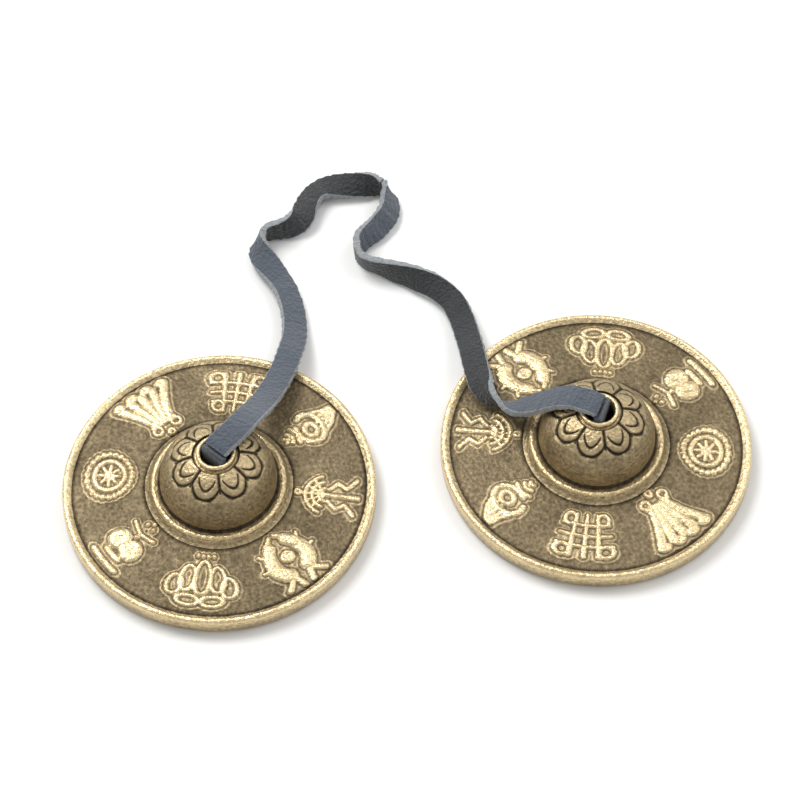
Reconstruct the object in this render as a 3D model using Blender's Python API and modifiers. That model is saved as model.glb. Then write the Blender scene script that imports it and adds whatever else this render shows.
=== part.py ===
# Tingsha: two cast bronze cymbals joined by one flat leather strap.
# Metres, +Z up. The cymbals lie on the table plane z = 0, boss up, with both centres on the
# X axis, and the origin is midway between them. The sizes below are in millimetres.
import math

import bmesh
import bpy
from mathutils import Matrix, Vector

MM = 0.001

# Driving sizes of one cymbal
CYMBAL_RADIUS = 32.5      # outside of the edge
CENTRE_SPACING = 79.04    # from one boss centre to the other, as the pair lies
EDGE_HEIGHT = 4.3         # table to the top of the edge bead
BEAD_WIDTH = 1.9          # raised bead round the plate's edge
BEAD_RISE = 0.7           # bead above the plate beside it
FOOT_CHAMFER = 0.5        # lower outer corner of the wall
REST_RING_WIDTH = 4.5     # flat ring underneath that the cymbal stands on
BOSS_RADIUS = 12.1        # dome at its foot
BOSS_HEIGHT = 17.2        # table to the top of the collar
BOSS_SQUARENESS = 2.3     # 2 is an ellipse, more is fuller at the shoulder
BOSS_WALL = 2.6           # dome wall at the foot
CROWN_THICKNESS = 4.2     # collar top to the ceiling of the hollow
STEP_WIDTH = 2.4          # rounded step round the foot of the dome
STEP_RISE = 1.7           # step above the plate
PLATE_RISE = 0.75         # the plate is this much higher at the step than at the edge
UNDER_RISE = 1.5          # how far the plate's underside is hollowed at the dome's mouth
COLLAR_WIDTH = 0.9        # raised collar round the hole
GROOVE_WIDTH = 0.75       # groove between the collar and the dome
GROOVE_DEPTH = 1.2        # collar top to the floor of the groove
DOME_BELOW_COLLAR = 0.15  # the dome's own crown, were it whole, below the collar top
TURN_STEPS = 72

# Driving sizes of the strap
STRAP_WIDTH = 5.4
STRAP_THICKNESS = 1.5
STRAP_CORNER = 0.25       # softened corners of the cut leather
BORE_CLEARANCE = 0.18     # hole round the strap's corners
COLLAR_CLEARANCE = 0.45   # underside of the strap over the collar
BEND_RADIUS = 1.7         # centreline of the bend over the hole
STEM_OFFSET = 0.6         # the strap hugs the side of the hole away from its run
LEFT_LEAVES = 42.0        # bearing of the strap as it leaves the left hole, degrees from +X
RIGHT_LEAVES = 150.0      # and the right hole
JOINT_GAP = 0.4           # between two lengths of strap that are hinged to each other
BEND_GAP = 18.0           # the same in the bend over a hole, in degrees of the bend

# Driving sizes of the knots, which are tied in the strap rolled to a cord
CORD_THICKNESS = 2.4
KNOT_RING = 3.5           # radius of the ring that the turns wind round
KNOT_TURN = 1.6           # radius of one turn
KNOT_CLEARANCE = 0.6      # crest of the knot below the ceiling of the hollow
KNOT_STARTS = 50.0        # where the tail leaves the closed curve, degrees
KNOT_ENDS = 360.0         # where the lead leaves it
LEAD_RISE = 2.2           # the lead's crest above the top turn

# Worked out from the sizes above
HALF_SPACING = CENTRE_SPACING / 2
BORE_RADIUS = math.hypot(STRAP_WIDTH / 2, STEM_OFFSET + STRAP_THICKNESS / 2) + BORE_CLEARANCE
PLATE_AT_EDGE = EDGE_HEIGHT - BEAD_RISE
PLATE_AT_STEP = PLATE_AT_EDGE + PLATE_RISE
STEP_TOP = PLATE_AT_STEP + STEP_RISE
HOLLOW_RADIUS = BOSS_RADIUS - BOSS_WALL
CEILING = BOSS_HEIGHT - CROWN_THICKNESS
BEND_TOP = BOSS_HEIGHT + COLLAR_CLEARANCE + STRAP_THICKNESS / 2
BEND_CENTRE_U = BEND_RADIUS - STEM_OFFSET
BEND_CENTRE_Z = BEND_TOP - BEND_RADIUS
BEND_OUTSIDE = BEND_RADIUS + STRAP_THICKNESS / 2
BEND_INSIDE = BEND_RADIUS - STRAP_THICKNESS / 2
LEAD_TOP = KNOT_TURN + LEAD_RISE
KNOT_MIDDLE = CEILING - KNOT_CLEARANCE - CORD_THICKNESS / 2 - LEAD_TOP

# The run of the strap from hole to hole, measured from the photograph. Each point is x, y,
# height of the centreline, and roll in degrees: at 0 the strap stands on its edge with the
# suede on the left of its run, at 90 it lies flat, suede up, and at -90 flat, suede down.
# Points over a cymbal are counted from its boss centre and from its collar top.
OVER_LEFT = [
    (2.8, 2.5, 1.15, 90.0), (5.2, 4.9, 0.75, 90.0), (7.6, 8.2, -0.75, 90.0),
    (9.9, 12.2, -4.0, 90.0), (12.0, 16.4, -7.0, 90.0), (14.3, 21.0, -9.2, 91.0),
    (16.5, 25.8, -10.7, 94.0), (18.1, 30.0, -11.6, 99.0),
]
LEFT_ON_TABLE = [
    (-20.2, 34.2, 3.9, 105.0), (-19.6, 39.0, 2.5, 112.0), (-19.7, 44.5, 2.1, 112.0),
    (-20.9, 50.0, 2.0, 108.0), (-23.2, 54.8, 2.3, 90.0), (-24.8, 58.5, 2.7, 58.0),
    (-24.9, 61.5, 3.0, 25.0), (-23.1, 63.8, 3.0, 5.0), (-19.7, 64.3, 3.05, -8.0),
    (-17.0, 65.2, 2.95, -35.0), (-14.8, 67.3, 2.5, -76.0), (-13.4, 70.5, 2.2, -102.0),
    (-11.3, 73.6, 2.1, -106.0), (-8.1, 75.0, 2.1, -92.0), (-3.2, 74.6, 2.5, -64.0),
    (1.1, 73.9, 2.95, -34.0),
]
FOLD = (3.8, 72.6, 3.0)   # the strap's middle bend, where the two lengths meet
FOLD_HEADING = -45.0      # bearing of the strap's run there
RIGHT_ON_TABLE = [
    (5.0, 70.0, 2.95, 34.0), (4.2, 65.8, 2.8, 44.0), (1.2, 62.1, 2.8, 42.0),
    (-2.2, 59.3, 3.0, 25.0), (-3.7, 56.8, 3.0, 4.0), (-2.9, 53.7, 3.05, 11.0),
    (-0.1, 51.7, 3.05, 6.0), (3.6, 49.7, 3.05, -12.0), (7.7, 47.5, 2.95, -32.0),
    (11.7, 44.7, 2.75, -52.0), (14.9, 40.7, 2.5, -66.0), (16.3, 35.7, 2.6, -74.0),
    (16.8, 30.5, 3.6, -76.0),
]
OVER_RIGHT = [
    (-22.5, 25.8, -12.1, -76.0), (-22.4, 21.6, -11.1, -75.0), (-22.0, 16.2, -10.0, -62.0),
    (-20.6, 11.8, -9.3, -8.0), (-17.3, 9.0, -9.3, 48.0), (-14.0, 7.4, -7.6, 78.0),
    (-10.6, 5.8, -4.2, 88.0), (-7.6, 4.3, -0.9, 90.0), (-5.0, 2.9, 0.75, 90.0),
    (-2.6, 1.5, 1.15, 90.0),
]


def superellipse_height(radius, foot_radius, base, top):
    """Height of a full-shouldered dome at a radius, from its foot up to its crown."""
    share = min(radius / foot_radius, 1.0)
    return base + (top - base) * (1.0 - share ** BOSS_SQUARENESS) ** (1.0 / BOSS_SQUARENESS)


def dome_run(inner_radius, foot_radius, base, top, steps):
    """Profile points of a dome from its inner radius down to its foot, evenly turned."""
    first = math.asin((inner_radius / foot_radius) ** (BOSS_SQUARENESS / 2))
    run = []
    for i in range(steps + 1):
        angle = first + (math.pi / 2 - first) * i / steps
        radius = foot_radius * math.sin(angle) ** (2 / BOSS_SQUARENESS)
        run.append((radius, superellipse_height(radius, foot_radius, base, top)))
    return run


def arc(centre_r, centre_z, radius, start, end, steps):
    """Points on an arc in a profile plane, in degrees from the first axis to the second."""
    points = []
    for i in range(steps + 1):
        angle = math.radians(start + (end - start) * i / steps)
        points.append((centre_r + radius * math.cos(angle), centre_z + radius * math.sin(angle)))
    return points


def collar_profile():
    ring = COLLAR_WIDTH / 2
    floor = BOSS_HEIGHT - GROOVE_DEPTH
    collar_foot = BORE_RADIUS + COLLAR_WIDTH
    profile = arc(BORE_RADIUS + ring, BOSS_HEIGHT - ring, ring, 180, 0, 6)
    profile.append((collar_foot + 0.05, floor))
    profile.append((collar_foot + GROOVE_WIDTH - 0.1, floor))
    return profile


def step_profile():
    """The rounded step that runs round the foot of the dome, down to the plate."""
    middle = BOSS_RADIUS + 0.55 * STEP_WIDTH
    rounding = 0.3 * STEP_WIDTH
    profile = [(BOSS_RADIUS + 0.12 * STEP_WIDTH, STEP_TOP - 0.1 * STEP_RISE)]
    profile += arc(middle, STEP_TOP - rounding, rounding, 125, 10, 5)
    profile.append((BOSS_RADIUS + STEP_WIDTH, PLATE_AT_STEP + 0.3 * STEP_RISE))
    profile.append((BOSS_RADIUS + 1.35 * STEP_WIDTH, PLATE_AT_STEP))
    return profile


def edge_profile():
    """Plate, bead and wall, down to the flat ring that the cymbal stands on."""
    rounding = 0.4 * BEAD_WIDTH
    foot = CYMBAL_RADIUS - FOOT_CHAMFER
    profile = [(CYMBAL_RADIUS - BEAD_WIDTH, PLATE_AT_EDGE)]
    profile += arc(CYMBAL_RADIUS - rounding, EDGE_HEIGHT - rounding, rounding, 125, 0, 6)
    profile.append((CYMBAL_RADIUS, 2 * FOOT_CHAMFER))
    profile.append((foot, 0.0))
    profile.append((foot - REST_RING_WIDTH, 0.0))
    return profile


def under_profile():
    """Hollowed underside, the mouth of the dome, its inside and the bore's lower edge."""
    mouth = HOLLOW_RADIUS
    profile = [
        (mouth + 3.0, UNDER_RISE),
        (mouth + 0.7, UNDER_RISE + 0.4),
        (mouth + 0.1, UNDER_RISE + 1.5),
    ]
    profile += reversed(dome_run(BORE_RADIUS + 1.4, mouth, STEP_TOP, CEILING, 8))
    profile.append((BORE_RADIUS + 0.4, CEILING))
    profile.append((BORE_RADIUS, CEILING + 0.4))
    return profile


def cymbal_profile():
    """Half section of a cymbal: bore, over the top, down the wall and back underneath."""
    dome_foot = STEP_TOP + 0.2 * STEP_RISE
    crown = BOSS_HEIGHT - DOME_BELOW_COLLAR
    groove_edge = BORE_RADIUS + COLLAR_WIDTH + GROOVE_WIDTH
    profile = collar_profile()
    profile += dome_run(groove_edge, BOSS_RADIUS, dome_foot, crown, 13)
    profile += step_profile() + edge_profile() + under_profile()
    return profile


def make_material(name, colour, roughness, metallic):
    material = bpy.data.materials.new(name)
    material.use_nodes = True
    shader = material.node_tree.nodes["Principled BSDF"]
    shader.inputs["Base Color"].default_value = (*colour, 1.0)
    shader.inputs["Roughness"].default_value = roughness
    shader.inputs["Metallic"].default_value = metallic
    return material


def make_collection(name):
    collection = bpy.data.collections.new(name)
    bpy.context.scene.collection.children.link(collection)
    return collection


def add_object(name, data, collection, material=None):
    thing = bpy.data.objects.new(name, data)
    collection.objects.link(thing)
    if material is not None:
        data.materials.append(material)
    return thing


def make_cymbal(name, centre_x, collection, material):
    """A turned casting. Its origin is on the axis of its hole, at table height."""
    mesh = bpy.data.meshes.new(name)
    bm = bmesh.new()
    corners = [bm.verts.new((r * MM, 0.0, z * MM)) for r, z in cymbal_profile()]
    for first, second in zip(corners, corners[1:] + corners[:1]):
        bm.edges.new((first, second))
    bm.to_mesh(mesh)
    bm.free()
    cymbal = add_object(name, mesh, collection, material)
    cymbal.location = (centre_x * MM, 0.0, 0.0)
    turn = cymbal.modifiers.new("Turn", "SCREW")
    turn.axis = "Z"
    turn.angle = math.tau
    turn.screw_offset = 0.0
    turn.steps = TURN_STEPS
    turn.render_steps = TURN_STEPS
    turn.use_merge_vertices = True
    turn.merge_threshold = 0.00001
    turn.use_smooth_shade = True
    return cymbal


def smooth_route(points, per_span=2):
    """Points of a smooth curve through the given ones, which may carry a roll as well."""
    before = [2 * a - b for a, b in zip(points[0], points[1])]
    after = [2 * a - b for a, b in zip(points[-1], points[-2])]
    padded = [before, *points, after]
    curve = []
    for i in range(1, len(padded) - 2):
        for step in range(per_span):
            t = step / per_span
            curve.append(tuple(
                0.5 * (2 * b + (c - a) * t + (2 * a - 5 * b + 4 * c - d) * t ** 2
                       + (3 * b - 3 * c + d - a) * t ** 3)
                for a, b, c, d in zip(*padded[i - 1:i + 3])
            ))
    curve.append(tuple(points[-1]))
    return curve


def least_gap(points, thickness):
    """The narrowest gap between turns of a cord that lie more than two thicknesses apart."""
    places = [Vector(p[:3]) for p in points]
    along = [0.0]
    for first, second in zip(places, places[1:]):
        along.append(along[-1] + (second - first).length)
    gap = math.inf
    for i, first in enumerate(places):
        for j in range(i + 1, len(places)):
            if along[j] - along[i] > 2 * thickness:
                gap = min(gap, (places[j] - first).length - thickness)
    return gap


def make_strap_section(cutters):
    """Cross-section of the strap standing on its edge: X is its thickness, Y its width."""
    half_x = STRAP_THICKNESS / 2
    half_y = STRAP_WIDTH / 2
    cut = STRAP_CORNER
    corners = []
    for x, y in ((1, 1), (-1, 1), (-1, -1), (1, -1)):
        pair = [(x * half_x, y * (half_y - cut)), (x * (half_x - cut), y * half_y)]
        corners += pair if x * y > 0 else reversed(pair)
    curve = bpy.data.curves.new("strap_section", "CURVE")
    curve.dimensions = "2D"
    line = curve.splines.new("POLY")
    line.points.add(len(corners) - 1)
    for point, (x, y) in zip(line.points, corners):
        point.co = (x * MM, y * MM, 0.0, 1.0)
    line.use_cyclic_u = True
    section = add_object("strap_section", curve, cutters)
    section.hide_render = True
    section.display_type = "WIRE"
    return section


def make_strap(name, route, origin, section, collection, material):
    """A length of strap swept along its route, each point turned to its roll."""
    curve = bpy.data.curves.new(name, "CURVE")
    curve.dimensions = "3D"
    curve.twist_mode = "Z_UP"
    curve.bevel_mode = "OBJECT"
    curve.bevel_object = section
    curve.use_fill_caps = True
    line = curve.splines.new("POLY")
    line.points.add(len(route) - 1)
    for point, (x, y, z, roll) in zip(line.points, route):
        place = Vector((x, y, z)) - origin
        point.co = (*(place * MM), 1.0)
        point.tilt = math.radians(roll)
    drawn = add_object(name + "_run", curve, collection, material)
    drawn.location = origin * MM
    return mesh_from_curve(name, drawn, collection)


def hole_frame(centre_x, leaves):
    """Placement of a hole: X along the strap as it leaves, Z up, from the boss centre."""
    return Matrix.Translation((centre_x, 0.0, 0.0)) @ Matrix.Rotation(math.radians(leaves), 4, "Z")


def bend_run(frame):
    """The strap's half of the bend over a hole, from the cut in the bend to its top."""
    start = 135.0 - BEND_GAP / 2
    stub = 0.2 * STRAP_THICKNESS
    angle = math.radians(start)
    cut = arc(BEND_CENTRE_U, BEND_CENTRE_Z, BEND_RADIUS, start, start, 1)[0]
    points = [cut, (cut[0] + stub * math.sin(angle), cut[1] - stub * math.cos(angle))]
    points += arc(BEND_CENTRE_U, BEND_CENTRE_Z, BEND_RADIUS, start - 18, 90, 1)
    return [(*(frame @ Vector((u, 0.0, z))), 90.0) for u, z in points]


def over_cymbal(centre_x, offsets):
    return [(centre_x + x, y, BOSS_HEIGHT + z, roll) for x, y, z, roll in offsets]


def fold_stubs(side):
    """Two points that end a length of strap square to the fold: -1 before it, 1 after it."""
    heading = math.radians(FOLD_HEADING)
    stubs = []
    for reach in (JOINT_GAP / 2, JOINT_GAP / 2 + 0.3 * STRAP_THICKNESS):
        x = FOLD[0] + side * reach * math.cos(heading)
        y = FOLD[1] + side * reach * math.sin(heading)
        stubs.append((x, y, FOLD[2], 0.0))
    return stubs


def strap_routes():
    left_hole = hole_frame(-HALF_SPACING, LEFT_LEAVES)
    right_hole = hole_frame(HALF_SPACING, RIGHT_LEAVES)
    left_bend = bend_run(left_hole)
    right_bend = bend_run(right_hole)
    left_end, left_stub = fold_stubs(-1)
    right_end, right_stub = fold_stubs(1)
    left_points = over_cymbal(-HALF_SPACING, OVER_LEFT) + LEFT_ON_TABLE
    right_points = RIGHT_ON_TABLE + over_cymbal(HALF_SPACING, OVER_RIGHT)
    left = left_bend[:-1] + smooth_route([left_bend[-1], *left_points, left_stub]) + [left_end]
    right = [right_end] + smooth_route([right_stub, *right_points, right_bend[-1]])
    return left, right + right_bend[-2::-1]


def swing_pivot():
    """Where the strap hinges in the bend over a hole: on the outside of the bend."""
    return arc(BEND_CENTRE_U, BEND_CENTRE_Z, BEND_OUTSIDE, 135.0, 135.0, 1)[0]


def fold_pivot():
    """Where the two lengths hinge: on the suede side of the fold, which is its outside."""
    heading = math.radians(FOLD_HEADING)
    side = STRAP_THICKNESS / 2
    return Vector((FOLD[0] - side * math.sin(heading), FOLD[1] + side * math.cos(heading), 0.0))


def stem_outline():
    """Side view of the strap where it comes up through the hole and starts its bend."""
    end = 135.0 + BEND_GAP / 2
    bottom = KNOT_MIDDLE + LEAD_TOP - 0.3 * CORD_THICKNESS
    inner = arc(BEND_CENTRE_U, BEND_CENTRE_Z, BEND_INSIDE, end, 180, 3)
    outer = arc(BEND_CENTRE_U, BEND_CENTRE_Z, BEND_OUTSIDE, 180, end, 3)
    return [*inner, (inner[-1][0], bottom), (outer[0][0], bottom), *outer]


def knot_route():
    """A three-crossing knot wound on a ring, with its lead rising to the hole's axis."""
    points = []
    turns = 20
    for i in range(turns):
        angle = math.radians(KNOT_STARTS + (KNOT_ENDS - KNOT_STARTS) * i / (turns - 1))
        reach = KNOT_RING + KNOT_TURN * math.cos(3 * angle)
        points.append((reach * math.cos(2 * angle), reach * math.sin(2 * angle),
                       KNOT_TURN * math.sin(3 * angle)))
    x, y, z = points[-1]
    reach = math.hypot(x, y)
    bearing = math.atan2(y, x)
    rising = (z + LEAD_TOP) / 2 + 0.3
    for share, turn, height in ((0.8, 0.35, rising), (0.35, 0.6, LEAD_TOP - 0.3)):
        points.append((reach * share * math.cos(bearing + turn),
                       reach * share * math.sin(bearing + turn), height))
    points.append((-STEM_OFFSET, 0.0, LEAD_TOP))
    return smooth_route(points)


def mesh_from_curve(name, curve, collection):
    """A welded mesh of a curve object, which is then removed."""
    bpy.context.view_layer.update()
    shape = curve.evaluated_get(bpy.context.evaluated_depsgraph_get())
    mesh = bpy.data.meshes.new_from_object(shape)
    bm = bmesh.new()
    bm.from_mesh(mesh)
    bmesh.ops.remove_doubles(bm, verts=bm.verts, dist=0.00001)
    bmesh.ops.recalc_face_normals(bm, faces=bm.faces)
    bm.to_mesh(mesh)
    bm.free()
    solid = add_object(name, mesh, collection)
    solid.matrix_world = curve.matrix_world
    bpy.data.objects.remove(curve)
    return solid


def make_stem(name, frame, pivot, cutters):
    """The flat of the strap from the knot up through the hole into the bend."""
    curve = bpy.data.curves.new(name, "CURVE")
    curve.dimensions = "2D"
    curve.fill_mode = "BOTH"
    curve.extrude = STRAP_WIDTH / 2 * MM
    outline = stem_outline()
    line = curve.splines.new("POLY")
    line.points.add(len(outline) - 1)
    for point, (u, z) in zip(line.points, outline):
        point.co = ((u - pivot[0]) * MM, (z - pivot[1]) * MM, 0.0, 1.0)
    line.use_cyclic_u = True
    drawn = add_object(name + "_outline", curve, cutters)
    drawn.matrix_world = frame @ Matrix.Rotation(math.pi / 2, 4, "X")
    stem = mesh_from_curve(name, drawn, cutters)
    stem.hide_render = True
    stem.display_type = "WIRE"
    return stem


def make_knot(name, centre_x, leaves, collection, cutters, material):
    """A knot in the hollow of a boss, one piece with the strap that comes up from it."""
    pivot = swing_pivot()
    hole = hole_frame(centre_x, leaves)
    frame = hole @ Matrix.Translation((pivot[0], 0.0, pivot[1]))
    frame.translation = frame.translation * MM
    curve = bpy.data.curves.new(name, "CURVE")
    curve.dimensions = "3D"
    curve.bevel_depth = CORD_THICKNESS / 2 * MM
    curve.bevel_resolution = 2
    curve.use_fill_caps = True
    route = knot_route()
    line = curve.splines.new("POLY")
    line.points.add(len(route) - 1)
    for point, (x, y, z) in zip(line.points, route):
        point.co = ((x - pivot[0]) * MM, y * MM, (z + KNOT_MIDDLE - pivot[1]) * MM, 1.0)
    drawn = add_object(name + "_cord", curve, collection)
    drawn.matrix_world = frame
    knot = mesh_from_curve(name, drawn, collection)
    knot.data.materials.append(material)
    join = knot.modifiers.new("Join", "BOOLEAN")
    join.operation = "UNION"
    join.solver = "EXACT"
    join.object = make_stem(name + "_stem", frame, pivot, cutters)
    return knot


def main():
    for old in list(bpy.data.objects):
        bpy.data.objects.remove(old)
    parts = make_collection("tingsha")
    cutters = make_collection("cutters")
    bronze_left = make_material("bronze_left", (0.42, 0.33, 0.19), 0.42, 0.9)
    bronze_right = make_material("bronze_right", (0.45, 0.35, 0.20), 0.40, 0.9)
    make_cymbal("cymbal_left", -HALF_SPACING, parts, bronze_left)
    make_cymbal("cymbal_right", HALF_SPACING, parts, bronze_right)

    section = make_strap_section(cutters)
    left_route, right_route = strap_routes()
    leather_left = make_material("leather_left", (0.11, 0.14, 0.17), 0.85, 0.0)
    leather_right = make_material("leather_right", (0.10, 0.13, 0.16), 0.85, 0.0)
    make_strap("strap_left", left_route, Vector((0, 0, 0)), section, parts, leather_left)
    make_strap("strap_right", right_route, fold_pivot(), section, parts, leather_right)

    knotted_left = make_material("knotted_left", (0.07, 0.08, 0.10), 0.6, 0.0)
    knotted_right = make_material("knotted_right", (0.07, 0.08, 0.10), 0.6, 0.0)
    make_knot("knot_left", -HALF_SPACING, LEFT_LEAVES, parts, cutters, knotted_left)
    make_knot("knot_right", HALF_SPACING, RIGHT_LEAVES, parts, cutters, knotted_right)
    knot_gap = least_gap(knot_route(), CORD_THICKNESS)
    print(f"strap points {len(left_route)} + {len(right_route)}, gap in the knot {knot_gap:.2f} mm")


main()
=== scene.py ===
import math

import bmesh
import bpy
import numpy as np
from mathutils import Matrix, Vector


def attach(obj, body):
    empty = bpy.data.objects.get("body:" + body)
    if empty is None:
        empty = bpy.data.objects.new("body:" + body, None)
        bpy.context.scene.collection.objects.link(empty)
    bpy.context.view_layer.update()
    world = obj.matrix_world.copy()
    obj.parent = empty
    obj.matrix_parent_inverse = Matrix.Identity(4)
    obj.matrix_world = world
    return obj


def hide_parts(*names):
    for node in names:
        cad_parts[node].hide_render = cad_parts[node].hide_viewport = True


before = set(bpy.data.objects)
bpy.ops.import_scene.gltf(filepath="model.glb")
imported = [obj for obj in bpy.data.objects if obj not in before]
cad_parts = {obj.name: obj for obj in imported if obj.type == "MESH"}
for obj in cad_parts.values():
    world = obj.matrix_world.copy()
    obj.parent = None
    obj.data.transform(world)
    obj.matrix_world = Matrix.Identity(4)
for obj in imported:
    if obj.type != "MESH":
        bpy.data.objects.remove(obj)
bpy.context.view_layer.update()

mm = 0.001
print("frame loaded")

# Camera: fitted to the two rims in the photograph
cameraSet = {"target": (0.627, 18.5, 0.0), "distance": 620.0, "elevation": 57.213,
             "azimuth": -7.143, "roll": -0.357, "lens": 131.316}


def makeCamera(s):
    el, az, roll = (math.radians(s[k]) for k in ("elevation", "azimuth", "roll"))
    back = Vector((math.sin(az) * math.cos(el), -math.cos(az) * math.cos(el), math.sin(el)))
    right = (-back).cross(Vector((0, 0, 1))).normalized()
    up = right.cross(-back)
    sideways = right * math.cos(roll) + up * math.sin(roll)
    upward = -right * math.sin(roll) + up * math.cos(roll)
    turn = Matrix((sideways, upward, back)).transposed().to_4x4()
    data = bpy.data.cameras.new("camera")
    data.lens = s["lens"]
    data.sensor_width = 36.0
    camera = bpy.data.objects.new("camera", data)
    place = (Vector(s["target"]) + back * s["distance"]) * mm
    camera.matrix_world = Matrix.Translation(place) @ turn
    bpy.context.scene.collection.objects.link(camera)
    bpy.context.scene.camera = camera


makeCamera(cameraSet)


def newMaterial(name):
    material = bpy.data.materials.new(name)
    material.use_nodes = True
    tree = material.node_tree
    return material, tree, tree.nodes["Principled BSDF"]


def ramp(tree, source, stops):
    node = tree.nodes.new("ShaderNodeValToRGB")
    while len(node.color_ramp.elements) < len(stops):
        node.color_ramp.elements.new(0.5)
    for element, (place, colour) in zip(node.color_ramp.elements, stops):
        element.position = place
        element.color = (*colour, 1.0)
    tree.links.new(source, node.inputs["Fac"])
    return node.outputs["Color"]


def greys(stops):
    return [(place, (value,) * 3) for place, value in stops]


def attribute(tree, name):
    node = tree.nodes.new("ShaderNodeAttribute")
    node.attribute_name = name
    return node.outputs["Fac"]


def mathNode(tree, operation, first, second):
    node = tree.nodes.new("ShaderNodeMath")
    node.operation = operation
    for socket, value in zip(node.inputs, (first, second)):
        if isinstance(value, (int, float)):
            socket.default_value = value
        else:
            tree.links.new(value, socket)
    return node.outputs[0]


def addBump(tree, shader, height, strength, distance):
    node = tree.nodes.new("ShaderNodeBump")
    node.inputs["Strength"].default_value = strength
    node.inputs["Distance"].default_value = distance
    tree.links.new(height, node.inputs["Height"])
    tree.links.new(node.outputs["Normal"], shader.inputs["Normal"])


def makeMottle():
    # Unevenness that both materials use: noise round 0 for the colour, plain noise for the bump
    group = bpy.data.node_groups.new("mottle", "ShaderNodeTree")
    sockets = [("Vector", "INPUT", "NodeSocketVector"), ("Scale", "INPUT", "NodeSocketFloat"),
               ("Detail", "INPUT", "NodeSocketFloat"), ("Amount", "INPUT", "NodeSocketFloat"),
               ("Mottle", "OUTPUT", "NodeSocketFloat"), ("Grain", "OUTPUT", "NodeSocketFloat")]
    for name, way, kind in sockets:
        group.interface.new_socket(name, in_out=way, socket_type=kind)
    given = group.nodes.new("NodeGroupInput")
    result = group.nodes.new("NodeGroupOutput")
    noise = group.nodes.new("ShaderNodeTexNoise")
    for name in ("Vector", "Scale", "Detail"):
        group.links.new(given.outputs[name], noise.inputs[name])
    centred = mathNode(group, "SUBTRACT", noise.outputs["Fac"], 0.5)
    mottled = mathNode(group, "MULTIPLY", centred, given.outputs["Amount"])
    group.links.new(mottled, result.inputs["Mottle"])
    group.links.new(noise.outputs["Fac"], result.inputs["Grain"])
    return group


mottle = makeMottle()


def addMottle(tree, scale, detail, amount=1.0):
    place = tree.nodes.new("ShaderNodeTexCoord")
    node = tree.nodes.new("ShaderNodeGroup")
    node.node_tree = mottle
    for name, value in (("Scale", scale), ("Detail", detail), ("Amount", amount)):
        node.inputs[name].default_value = value
    tree.links.new(place.outputs["Object"], node.inputs["Vector"])
    return node.outputs["Mottle"], node.outputs["Grain"]


# stops: colour by wear, 0 dark recess, 0.42 cast ground, 1 polished.
# grain and blotch: scale, detail and amount. bump: strength and distance.
bronzeSet = {"stops": [(0.0, (0.035, 0.027, 0.017)), (0.30, (0.12, 0.092, 0.052)),
                       (0.50, (0.22, 0.17, 0.098)), (0.80, (0.50, 0.39, 0.22)),
                       (1.0, (0.78, 0.62, 0.36))],
             "rough": [(0.0, 0.75), (0.5, 0.52), (1.0, 0.27)], "metallic": 0.82,
             "grain": (1300, 4.0, 0.6), "blotch": (130, 6.0, 0.35), "bump": (0.6, 0.0006)}


def makeBronze(s):
    material, tree, shader = newMaterial("castBronze")
    speckle, grain = addMottle(tree, *s["grain"])
    patches, _ = addMottle(tree, *s["blotch"])
    wear = mathNode(tree, "ADD", attribute(tree, "wear"), mathNode(tree, "ADD", speckle, patches))
    tree.links.new(ramp(tree, wear, s["stops"]), shader.inputs["Base Color"])
    tree.links.new(ramp(tree, wear, greys(s["rough"])), shader.inputs["Roughness"])
    shader.inputs["Metallic"].default_value = s["metallic"]
    addBump(tree, shader, grain, *s["bump"])
    return material


bronze = makeBronze(bronzeSet)

# One cymbal's section in millimetres, as in the solids. A point is its radius and height, a bead
# its middle and radius, and a dome its top radius, foot radius, foot height and top height.
cymbalSet = {
    "bore": 3.199, "collar": 17.2, "collarRound": 0.45, "groove": [(4.15, 16.0), (4.75, 16.0)],
    "dome": (4.85, 12.1, 6.39, 17.05), "square": 2.3, "domeFoot": (12.4, 5.88),
    "stepBead": (13.42, 5.33, 0.72), "stepFoot": (14.5, 4.86), "plateIn": (15.34, 4.35),
    "plateOut": (30.6, 3.6), "rimBead": (31.74, 3.54, 0.76), "wall": [(32.5, 1.0), (32.0, 0.0)],
    "underside": [(27.5, 0.0), (12.5, 1.5), (10.2, 1.9), (9.6, 3.0)],
    "hollow": (4.6, 9.5, 6.05, 13.0), "holeFoot": (3.6, 13.0), "boreFoot": 13.4,
    "steps": 360, "sharp": 55}
holeX = 0.03952  # each cymbal's axis lies this far from the middle, in metres


def arc(r0, z0, radius, start, end, steps):
    return [(r0 + radius * math.cos(math.radians(start + (end - start) * i / steps)),
             z0 + radius * math.sin(math.radians(start + (end - start) * i / steps)))
            for i in range(steps + 1)]


def domeRun(inner, foot, base, top, steps, square):
    first = math.asin((inner / foot) ** (square / 2))
    run = []
    for i in range(steps + 1):
        angle = first + (math.pi / 2 - first) * i / steps
        r = foot * math.sin(angle) ** (2 / square)
        run.append((r, base + (top - base) * max(0, 1 - (r / foot) ** square) ** (1 / square)))
    return run


def castingProfile(s):
    bore, ring = s["bore"], s["collarRound"]
    profile = arc(bore + ring, s["collar"] - ring, ring, 180, 0, 12) + s["groove"]
    profile += domeRun(*s["dome"], 80, s["square"]) + [s["domeFoot"]]
    profile += arc(*s["stepBead"], 125, 10, 12) + [s["stepFoot"], s["plateIn"], s["plateOut"]]
    profile += arc(*s["rimBead"], 125, 0, 14) + s["wall"] + s["underside"]
    profile += domeRun(*s["hollow"], 20, s["square"])[::-1]
    return profile + [s["holeFoot"], (bore, s["boreFoot"])]


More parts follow.
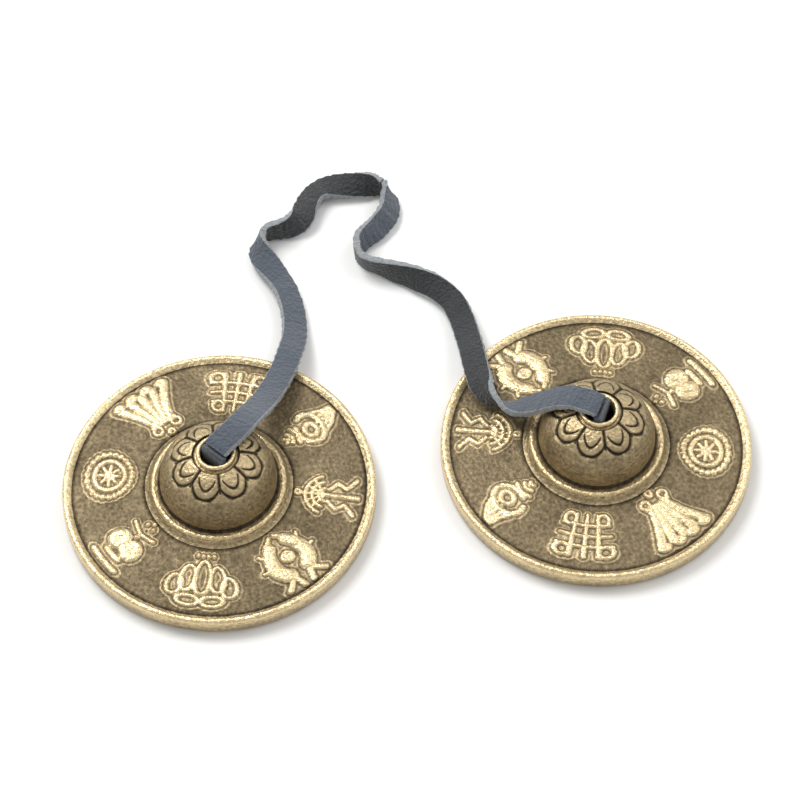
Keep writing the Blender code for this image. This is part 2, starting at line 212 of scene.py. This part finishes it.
def spinProfile(name, profile, steps):
    bm = bmesh.new()
    verts = [bm.verts.new((r * mm, 0, z * mm)) for r, z in profile]
    edges = [bm.edges.new(ends) for ends in zip(verts, verts[1:] + verts[:1])]
    bmesh.ops.spin(bm, geom=verts + edges, cent=(0, 0, 0), axis=(0, 0, 1), dvec=(0, 0, 0),
                   angle=math.tau, steps=steps, use_merge=True, use_duplicate=False)
    bmesh.ops.remove_doubles(bm, verts=bm.verts, dist=1e-7)
    bmesh.ops.recalc_face_normals(bm, faces=bm.faces)
    mesh = bpy.data.meshes.new(name)
    bm.to_mesh(mesh)
    bm.free()
    mesh.shade_smooth()
    mesh.set_sharp_from_angle(angle=math.radians(cymbalSet["sharp"]))
    return mesh


# Symbols: x runs clockwise along the plate, y from the rim to the boss, 0, 0 in the middle.
# Each stroke is its half width, its height and its points; a pebble is a stroke of one point.
def loop(x, y, rx, ry, first=0, last=360, steps=16):
    return [(x + rx * math.cos(math.radians(first + (last - first) * i / steps)),
             y + ry * math.sin(math.radians(first + (last - first) * i / steps)))
            for i in range(steps + 1)]


def pair(strokes):
    return strokes + [(w, h, [(-x, y) for x, y in p]) for w, h, p in strokes]


def banner():
    folds = [(0.75, 0.6, [(x * 0.75, 2.6), (x, -0.5), (x * 1.45, -4.4)])
             for x in (-2.6, -1.3, 0, 1.3, 2.6)]
    hem = [(0.55, 0.65, loop(x, -5.1, 0.5, 0.5)) for x in (-3.6, -1.2, 1.2, 3.6)]
    curls = pair([(0.45, 0.6, loop(2.4, 4.2, 1.0, 0.8, -60, 220))])
    finial = (0.5, 0.7, loop(0, 6.0, 0.7, 0.7))
    rail = (0.6, 0.6, [(-2.6, 3.1), (2.6, 3.1)])
    return folds + hem + curls + [finial, rail]


def endlessKnot():
    bands = [(0.42, 0.62, [(a, -4.4), (a, 4.4)]) for a in (-2.2, 0, 2.2)]
    bands += [(0.42, 0.62, [(-4.4, a), (4.4, a)]) for a in (-2.2, 0, 2.2)]
    for x in (-1, 1):
        for y in (-1, 1):
            bands.append((0.45, 0.66, loop(x * 3.3, y * 3.3, 1.15, 1.15)))
    return bands


def conch():
    rings = [(0.5, 0.65, [(-w, y), (0, y - 0.5), (w, y)])
             for y, w in ((5.4, 0.7), (4.3, 1.3), (3.1, 2.0))]
    body = [(0.6, 0.6, loop(0.2, -0.2, 3.0, 2.6, -200, 120)), (0.55, 0.65, loop(0.6, -0.2, 1.3, 1.2))]
    tail = [(0.4, 0.5, [(x, -2.2), (x * 0.6, -4.2), (x * 0.2 - 0.6, -6.2)])
            for x in (-2.2, -1.1, 0, 1.1, 2.2)]
    return rings + body + tail


def parasol():
    arcs = [(0.42, 0.62, loop(0, 0.6, r, r, 10, 170)) for r in (1.3, 2.6, 3.9)]
    ribs = [(0.35, 0.5, [(0, 0.8), (3.6 * math.cos(a), 0.8 + 3.4 * math.sin(a))])
            for a in (0.6, 1.1, 1.57, 2.04, 2.54)]
    waves = pair([(0.42, 0.55, [(1.2, 0), (2.4, -1.6), (1.4, -3.2), (2.8, -5.2)])])
    finial = (0.45, 0.6, loop(0, 5.9, 0.6, 0.6))
    pole = (0.45, 0.6, [(0, 0.6), (0, -5.6)])
    return arcs + ribs + waves + [finial, pole]


def fish():
    one = [(1.3, 0.85, loop(0.2, 0.4, 3.0, 4.0, -58, 52)), (0.4, 0.5, [(3.6, 1.8), (4.8, 3.0)]),
           (0.4, 0.5, [(3.7, -0.6), (5.0, -0.6)]), (0.5, 0.55, [(1.4, -3.6), (3.0, -6.0)]),
           (0.5, 0.55, [(1.3, -3.6), (0.7, -6.2)]), (0.6, 0.8, [(1.6, 4.7), (0.7, 5.4)])]
    return pair(one) + [(0.5, 0.6, loop(0, 0.4, 0.9, 0.9)), (0.5, 0.6, [(0, 0.4)])]


def lotus():
    petals = pair([(0.42, 0.62, loop(2.6, 0.2, 1.3, 2.6)), (0.42, 0.6, loop(4.4, -1.6, 1.2, 2.0)),
                   (0.42, 0.55, loop(1.8, -4.2, 1.6, 1.0))])
    seeds = [(0.55, 0.75, [(x, 5.0)]) for x in (-1.8, -0.6, 0.6, 1.8)]
    return petals + [(0.45, 0.68, loop(0, 0.6, 1.4, 3.4))] + seeds


def vase():
    body = pair([(1.0, 0.75, loop(1.5, -0.6, 0.9, 1.4)), (0.45, 0.6, [(0.3, 3.0), (3.2, 3.6)])])
    foot = [(0.6, 0.6, [(-2.2, -5.6), (2.2, -5.6)]), (0.6, 0.6, [(-1.2, -3.6), (1.2, -3.6)])]
    beads = [(0.6, 0.7, [(x, y)]) for x, y in ((0, 6.2), (-1.0, 5.2), (1.0, 5.2), (0, 2.0))]
    return body + foot + beads


def wheel():
    lobes = [(0.62, 0.66, [(4.3 * math.cos(a), 4.3 * math.sin(a))])
             for a in np.arange(24) * math.tau / 24]
    hub = [(0.4, 0.55, [(0.7 * math.cos(a), 0.7 * math.sin(a)), (1.9 * math.cos(a), 1.9 * math.sin(a))])
           for a in np.arange(8) * math.tau / 8]
    return lobes + hub + [(0.5, 0.62, loop(0, 0, 2.9, 2.9, steps=28)), (0.6, 0.6, [(0, 0)])]


# Bearings in degrees from +X on the left cymbal; the right one is turned half round.
# wide and long stretch each symbol, and swell widens its strokes. pad is the low ground under it,
# which runs padEdge past the strokes and falls over padFall. shadow is how far patina gathers.
symbolSet = {"middle": 22.9, "wide": 1.2, "long": 1.1, "swell": 1.15, "pad": 0.24,
             "padEdge": 0.7, "padFall": 0.25, "shadow": 0.22, "places": [
                 (75, endlessKnot), (30, conch), (-14, parasol), (-57, fish), (-104, lotus),
                 (-150, vase), (167, wheel), (121, banner)]}


def soft(distance, width):
    return np.exp(-(distance / width) ** 2)


def strokeHeights(x, y, strokes, s):
    height = np.zeros_like(x)
    shade = np.zeros_like(x)
    for halfWidth, high, points in strokes:
        near = np.full_like(x, 99.0)
        for (ax, ay), (bx, by) in zip(points, points[1:] or points):
            ex, ey = bx - ax, by - ay
            along = np.clip(((x - ax) * ex + (y - ay) * ey) / max(ex * ex + ey * ey, 1e-9), 0, 1)
            near = np.minimum(near, np.hypot(x - ax - along * ex, y - ay - along * ey))
        edge = halfWidth * s["swell"]
        bump = np.sqrt(np.clip(1 - (near / edge) ** 2, 0, 1))
        height = np.maximum(height, high * bump)
        pad = np.clip((edge + s["padEdge"] - near) / s["padFall"], 0, 1)
        height = np.maximum(height, s["pad"] * pad)
        shade = np.maximum(shade, soft(near - edge, s["shadow"]))
    return height, shade


def storeValues(mesh, name, values):
    layer = mesh.attributes.new(name, "FLOAT", "POINT")
    layer.data.foreach_set("value", np.asarray(values, dtype=np.float32))


def finishPiece(mesh, name, offset, material, body):
    mesh.transform(Matrix.Translation((offset, 0, 0)))
    mesh.materials.append(material)
    piece = bpy.data.objects.new(name, mesh)
    bpy.context.scene.collection.objects.link(piece)
    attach(piece, body)
    return piece


def polar(mesh):
    places = np.empty(len(mesh.vertices) * 3)
    mesh.vertices.foreach_get("co", places)
    places = places.reshape(-1, 3) / mm
    return places, np.hypot(places[:, 0], places[:, 1]), np.arctan2(places[:, 1], places[:, 0])


# Rosette, cut into the dome: scalloped tips, a groove between petals and a line inside each.
# A width is a groove's, and a curve is how an outline bends across its petal.
rosetteSet = {"petals": 8, "from": 4.9, "to": 11, "above": 5.0, "depth": 0.38, "spread": 12,
              "rise": 0.7, "tip": 9.8, "scallop": 2.1, "tipCurve": 2.2, "tipWidth": 0.32,
              "between": 0.39, "betweenWidth": 0.28, "betweenTo": 8.6, "line": 8.3,
              "lineDip": 3.6, "lineCurve": 1.7, "lineWidth": 0.24, "lineSide": 0.72,
              "lineFrom": 5.4, "wear": 0.74, "wearCut": 0.8}
# Wear of the rest, 0 dark recess and 1 polished: from radius, to radius, from height, to height, wear
plainWear = 0.62
wearZones = {"groove": (4.2, 4.9, 5.0, 99, 0.0), "collar": (0, 4.2, 5.0, 99, 0.95),
             "shoulder": (9.9, 12.1, 5.0, 99, 0.60), "domeFoot": (12.1, 12.8, 5.0, 99, 0.12),
             "step": (12.8, 14.3, 4.8, 99, 0.9), "bead": (31.2, 99, 3.0, 99, 1.0),
             "wall": (32.3, 99, -1, 3.4, 0.8), "hollow": (0, 10, -1, 5.0, 0.3)}


def makeCasting(side, offset, turn):
    mesh = spinProfile("casting" + side, castingProfile(cymbalSet), cymbalSet["steps"])
    places, r, angle = polar(mesh)
    z = places[:, 2].copy()
    s = rosetteSet
    petal = np.abs(np.mod((angle - turn) * s["petals"] / math.tau, 1) - 0.5) * 2
    onPetals = (z > s["above"]) & (r > s["from"]) & (r < s["to"])
    tip = s["tip"] - s["scallop"] * petal ** s["tipCurve"]
    line = s["line"] - s["lineDip"] * petal ** s["lineCurve"]
    outline = soft(r - tip, s["tipWidth"])
    between = soft((1 - petal) * r * s["between"], s["betweenWidth"]) * (r < s["betweenTo"])
    inner = soft(r - line, s["lineWidth"]) * (petal < s["lineSide"]) * (r > s["lineFrom"])
    cut = np.where(onPetals, np.maximum(np.maximum(outline, between), inner), 0)
    outward = np.stack([np.cos(angle) * r / s["spread"], np.sin(angle) * r / s["spread"],
                        np.full_like(r, s["rise"])], 1)
    places -= outward * (s["depth"] * cut)[:, None]
    mesh.vertices.foreach_set("co", (places * mm).ravel())
    wear = np.where(onPetals, s["wear"] - s["wearCut"] * cut, plainWear)
    for fromR, toR, fromZ, toZ, value in wearZones.values():
        wear[(r >= fromR) & (r < toR) & (z > fromZ) & (z <= toZ)] = value
    storeValues(mesh, "wear", np.clip(wear, 0, 1))
    mesh.update()
    node = "cymbal_" + side.lower()
    piece = finishPiece(mesh, "casting" + side, offset, bronze, side.lower() + "_cymbal")
    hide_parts(node)


# The plate's relief is a fine ring laid into the casting, from the step to the bead. reach is how
# far a symbol goes round to each side, in radians, and fade how it ends beside step and bead.
reliefSet = {"rings": 104, "steps": 900, "inner": 15.3, "outer": 30.75, "under": 3.3,
             "proud": 0.02, "topFrom": 3.45, "reach": 0.44, "fade": 0.5}
# Its wear: the ground, what height adds, and the patina beside strokes and along step and bead
reliefWear = {"ground": 0.42, "polish": 0.55, "perHeight": 2.2, "patina": 0.34,
              "patinaBelow": 0.3, "rimPatina": 0.35, "rims": ((30.5, 0.45), (15.4, 0.5))}


def makeRelief(side, offset, turn):
    f, w = reliefSet, reliefWear
    inner, outer = f["inner"], f["outer"]
    (plateInR, plateInZ), (plateOutR, plateOutZ) = cymbalSet["plateIn"], cymbalSet["plateOut"]
    slope = (plateOutZ - plateInZ) / (plateOutR - plateInR)
    radii = [inner + (outer - inner) * i / f["rings"] for i in range(f["rings"] + 1)]
    profile = [(r, plateInZ + (r - inner) * slope + f["proud"]) for r in radii]
    profile += [(outer, f["under"]), (inner, f["under"])]
    mesh = spinProfile("relief" + side, profile, f["steps"])
    places, r, angle = polar(mesh)
    up = places[:, 2] > f["topFrom"]
    height = np.zeros_like(r)
    shade = np.zeros_like(r)
    for bearing, draw in symbolSet["places"]:
        local = np.mod(angle - turn - math.radians(bearing) + math.pi, math.tau) - math.pi
        near = up & (np.abs(local) < f["reach"])
        x = -local[near] * symbolSet["middle"] / symbolSet["wide"]
        y = (symbolSet["middle"] - r[near]) / symbolSet["long"]
        rise, dark = strokeHeights(x, y, draw(), symbolSet)
        height[near] = np.maximum(height[near], rise)
        shade[near] = np.maximum(shade[near], dark)
    height *= np.clip(np.minimum(r - inner, outer - r) / f["fade"], 0, 1)
    places[:, 2] += height
    mesh.vertices.foreach_set("co", (places * mm).ravel())
    polish = w["polish"] * np.clip(height * w["perHeight"], 0, 1)
    patina = w["patina"] * shade * (height < w["patinaBelow"])
    rims = w["rimPatina"] * sum(soft(r - at, width) for at, width in w["rims"])
    storeValues(mesh, "wear", np.clip(w["ground"] + polish - patina - rims, 0, 1))
    mesh.update()
    node = "cymbal_" + side.lower()
    piece = finishPiece(mesh, "relief" + side, offset, bronze, side.lower() + "_cymbal")
    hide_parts(node)


for side, sign, turn in (("Left", -1, 0.0), ("Right", 1, math.pi)):
    makeCasting(side, sign * holeX, turn)
    makeRelief(side, sign * holeX, turn)
    print("cymbal", side)

# The strap's sizes are in metres, and its angles in degrees. bend is how far the middle of the bend
# lies from a hole's axis, its height and its radius. A swell is its size in millimetres and its
# waves along x, y and z.
strapSet = {"width": 0.0054, "thick": 0.0015, "round": 0.00028, "edge": 0.0002, "sharp": 50,
            "fold": (0.0038, 0.0726, 0.0030), "heading": -45.0, "foldEnds": (0.0002, 0.00065),
            "bend": (0.0011, 0.0167, 0.0017), "bendAngles": (126, 117, 108, 99, 90),
            "bearings": (42, 150), "perSpan": 10, "lowest": 0.0001,
            "swells": ((0.08, 3.1, 2.3, 0.0), (0.07, -4.9, 5.7, 3.7))}
# Each point of a route is x, y, z and roll, as in the solids
leftRoute = [
    (-0.03672, 0.0025, 0.01835, 90), (-0.03432, 0.0049, 0.01795, 90),
    (-0.03192, 0.0082, 0.01645, 90), (-0.02962, 0.0122, 0.0132, 90),
    (-0.02752, 0.0164, 0.0102, 90), (-0.02522, 0.0210, 0.0080, 91),
    (-0.02302, 0.0258, 0.0065, 94), (-0.02142, 0.0300, 0.0056, 99),
    (-0.0202, 0.0342, 0.0039, 105), (-0.0196, 0.0390, 0.0025, 112),
    (-0.0197, 0.0445, 0.0021, 112), (-0.0209, 0.0500, 0.0020, 108),
    (-0.0232, 0.0548, 0.0023, 90), (-0.0248, 0.0585, 0.0027, 58),
    (-0.0249, 0.0615, 0.0030, 25), (-0.0231, 0.0638, 0.0030, 5),
    (-0.0197, 0.0643, 0.00305, -8), (-0.0170, 0.0652, 0.00295, -35),
    (-0.0148, 0.0673, 0.0025, -76), (-0.0134, 0.0705, 0.0022, -102),
    (-0.0113, 0.0736, 0.0021, -106), (-0.0081, 0.0750, 0.0021, -92),
    (-0.0032, 0.0746, 0.0025, -64), (0.0011, 0.0739, 0.00295, -34)]
rightRoute = [
    (0.0050, 0.0700, 0.00295, 34), (0.0042, 0.0658, 0.0028, 44), (0.0012, 0.0621, 0.0028, 42),
    (-0.0022, 0.0593, 0.0030, 25), (-0.0037, 0.0568, 0.0030, 4), (-0.0029, 0.0537, 0.00305, 11),
    (-0.0001, 0.0517, 0.00305, 6), (0.0036, 0.0497, 0.00305, -12), (0.0077, 0.0475, 0.00295, -32),
    (0.0117, 0.0447, 0.00275, -52), (0.0149, 0.0407, 0.0025, -66), (0.0163, 0.0357, 0.0026, -74),
    (0.0168, 0.0305, 0.0036, -76), (0.01702, 0.0258, 0.0051, -76), (0.01712, 0.0216, 0.0061, -75),
    (0.01752, 0.0162, 0.0072, -62), (0.01892, 0.0118, 0.0079, -8), (0.02222, 0.0090, 0.0079, 48),
    (0.02552, 0.0074, 0.0096, 78), (0.02892, 0.0058, 0.0130, 88), (0.03192, 0.0043, 0.0163, 90),
    (0.03452, 0.0029, 0.01795, 90), (0.03692, 0.0015, 0.01835, 90)]


def smoothRoute(points, perSpan):
    rows = [[2 * a - b for a, b in zip(points[0], points[1])], *points,
            [2 * a - b for a, b in zip(points[-1], points[-2])]]
    out = []
    for i in range(1, len(rows) - 2):
        for k in range(perSpan):
            t = k / perSpan
            out.append([0.5 * (2 * b + (c - a) * t + (2 * a - 5 * b + 4 * c - d) * t * t
                               + (3 * b - 3 * c + d - a) * t ** 3)
                        for a, b, c, d in zip(*rows[i - 1:i + 3])])
    return out + [list(points[-1])]


# stops and rough: by side, 0 grain, 0.5 cut edge, 1 suede.
# patch and fibre: scale, detail and amount. bump: strength and distance.
leatherSet = {"stops": [(0.0, (0.010, 0.012, 0.014)), (0.36, (0.016, 0.018, 0.021)),
                        (0.5, (0.30, 0.32, 0.33)), (0.62, (0.10, 0.115, 0.135)),
                        (1.0, (0.085, 0.10, 0.125))],
              "rough": [(0.0, 0.5), (0.5, 0.9), (1.0, 0.97)], "sheen": 0.25,
              "patch": (700, 8.0, 0.22), "fibre": (1400, 8.0), "bump": (1.0, 0.0008)}


def makeLeather(s):
    material, tree, shader = newMaterial("strapLeather")
    side = attribute(tree, "side")
    mottled, _ = addMottle(tree, *s["patch"])
    _, fibre = addMottle(tree, *s["fibre"])
    colour = ramp(tree, mathNode(tree, "ADD", side, mottled), s["stops"])
    tree.links.new(colour, shader.inputs["Base Color"])
    tree.links.new(ramp(tree, side, greys(s["rough"])), shader.inputs["Roughness"])
    shader.inputs["Sheen Weight"].default_value = s["sheen"]
    addBump(tree, shader, fibre, *s["bump"])
    return material


leather = makeLeather(leatherSet)


def strapSection(s):
    x, y, cut = s["thick"] / 2, s["width"] / 2, s["round"]
    corners = []
    for sx, sy, first in ((1, 1, 0), (-1, 1, 90), (-1, -1, 180), (1, -1, 270)):
        corners += arc(sx * (x - cut), sy * (y - cut), cut, first, first + 90, 3)
    curve = bpy.data.curves.new("strapSection", "CURVE")
    curve.dimensions = "2D"
    line = curve.splines.new("POLY")
    line.points.add(len(corners) - 1)
    for point, (px, py) in zip(line.points, corners):
        point.co = (px, py, 0, 1)
    line.use_cyclic_u = True
    section = bpy.data.objects.new("strapSection", curve)
    bpy.context.scene.collection.objects.link(section)
    return section, corners


def makeStrap(side, route, section, corners):
    s = strapSet
    curve = bpy.data.curves.new("strapRun" + side, "CURVE")
    curve.dimensions = "3D"
    curve.twist_mode = "Z_UP"
    curve.bevel_mode = "OBJECT"
    curve.bevel_object = section
    curve.use_fill_caps = True
    line = curve.splines.new("POLY")
    line.points.add(len(route) - 1)
    for point, (x, y, z, roll) in zip(line.points, route):
        point.co = (x, y, z, 1)
        point.tilt = math.radians(roll)
    run = bpy.data.objects.new("strapRun" + side, curve)
    bpy.context.scene.collection.objects.link(run)
    bpy.context.view_layer.update()
    mesh = bpy.data.meshes.new_from_object(run.evaluated_get(bpy.context.evaluated_depsgraph_get()))
    bpy.data.objects.remove(run)
    values = []
    for i in range(len(mesh.vertices)):
        px, py = corners[i % len(corners)]
        onEdge = abs(py) > s["width"] / 2 - s["edge"]
        values.append(0.5 if onEdge else (1.0 if px < 0 else 0.0))
    storeValues(mesh, "side", values)
    bm = bmesh.new()
    bm.from_mesh(mesh)
    bmesh.ops.remove_doubles(bm, verts=bm.verts, dist=1e-6)
    bmesh.ops.recalc_face_normals(bm, faces=bm.faces)
    for vert in bm.verts:  # uneven cut: small deterministic swells, never under the table
        x, y, z = vert.co / mm
        swell = sum(size * math.sin(a * x + b * y + c * z) for size, a, b, c in s["swells"])
        vert.co += vert.normal * (swell * mm)
        vert.co.z = max(vert.co.z, s["lowest"])
    bm.to_mesh(mesh)
    bm.free()
    mesh.shade_smooth()
    mesh.set_sharp_from_angle(angle=math.radians(s["sharp"]))
    node = "strap_" + side.lower()
    piece = finishPiece(mesh, "strap" + side, 0, leather, side.lower() + "_strap")
    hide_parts(node)


def bendStart(s, centreX, bearing):
    # the strap's half of the bend over a hole: cut at its middle, then round to its top
    a = math.radians(bearing)
    distance, height, radius = s["bend"]
    rows = []
    for angle in s["bendAngles"]:
        u = distance + radius * math.cos(math.radians(angle))
        z = height + radius * math.sin(math.radians(angle))
        rows.append((centreX + u * math.cos(a), u * math.sin(a), z, 90))
    return rows


def foldEnds(s, sign):
    a = math.radians(s["heading"])
    x, y, z = s["fold"]
    return [(x + sign * d * math.cos(a), y + sign * d * math.sin(a), z, 0) for d in s["foldEnds"]]


section, corners = strapSection(strapSet)
leftEnd, leftStub = foldEnds(strapSet, -1)
rightEnd, rightStub = foldEnds(strapSet, 1)
leftBend, rightBend = (bendStart(strapSet, sign * holeX, bearing)
                       for sign, bearing in zip((-1, 1), strapSet["bearings"]))
leftRun = smoothRoute([leftBend[-1], *leftRoute, leftStub], strapSet["perSpan"])
rightRun = smoothRoute([rightStub, *rightRoute, rightBend[-1]], strapSet["perSpan"])
makeStrap("Left", leftBend[:-1] + leftRun + [leftEnd], section, corners)
makeStrap("Right", [rightEnd] + rightRun + rightBend[-2::-1], section, corners)
bpy.data.objects.remove(section)
print("straps")


# side is the leather's, as in its material
knotSet = {"side": 0.8, "sharp": 50}


def makeKnot(side):
    node = "knot_" + side.lower()
    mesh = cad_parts[node].data.copy()
    bm = bmesh.new()
    bm.from_mesh(mesh)
    bmesh.ops.remove_doubles(bm, verts=bm.verts, dist=1e-6)
    bm.to_mesh(mesh)
    bm.free()
    storeValues(mesh, "side", [knotSet["side"]] * len(mesh.vertices))
    mesh.materials.clear()
    mesh.shade_smooth()
    mesh.set_sharp_from_angle(angle=math.radians(knotSet["sharp"]))
    piece = finishPiece(mesh, "knot" + side, 0, leather, side.lower() + "_knot")
    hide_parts(node)


for side in ("Left", "Right"):
    makeKnot(side)
print("knots")


# lamps: place, size and power
stageSet = {"floor": (0.86, 0.86, 0.85, 1), "rough": 0.7, "size": 3.0, "drop": 0.00005,
            "world": 0.62, "lamps": (((-0.35, 0.45, 0.8), 0.5, 7.0), ((0.6, 0.2, 0.7), 0.6, 2.5))}


def makeStage(s):
    material, tree, shader = newMaterial("paleFloor")
    shader.inputs["Base Color"].default_value = s["floor"]
    shader.inputs["Roughness"].default_value = s["rough"]
    mesh = bpy.data.meshes.new("floor")
    bm = bmesh.new()
    bmesh.ops.create_grid(bm, x_segments=2, y_segments=2, size=s["size"])
    bm.to_mesh(mesh)
    bm.free()
    mesh.transform(Matrix.Translation((0, 0, -s["drop"])))
    mesh.materials.append(material)
    floor = bpy.data.objects.new("floor", mesh)
    bpy.context.scene.collection.objects.link(floor)
    world = bpy.data.worlds.new("studio")
    bpy.context.scene.world = world
    world.use_nodes = True
    world.node_tree.nodes["Background"].inputs["Color"].default_value = (1, 1, 1, 1)
    world.node_tree.nodes["Background"].inputs["Strength"].default_value = s["world"]
    for place, size, power in s["lamps"]:
        data = bpy.data.lights.new("softbox", "AREA")
        data.size = size
        data.energy = power
        lamp = bpy.data.objects.new("softbox", data)
        lamp.location = place
        lamp.rotation_euler = (-Vector(place)).to_track_quat("-Z", "Y").to_euler()
        bpy.context.scene.collection.objects.link(lamp)


makeStage(stageSet)
print("stage")
bpy.context.scene.view_settings.view_transform = "Standard"
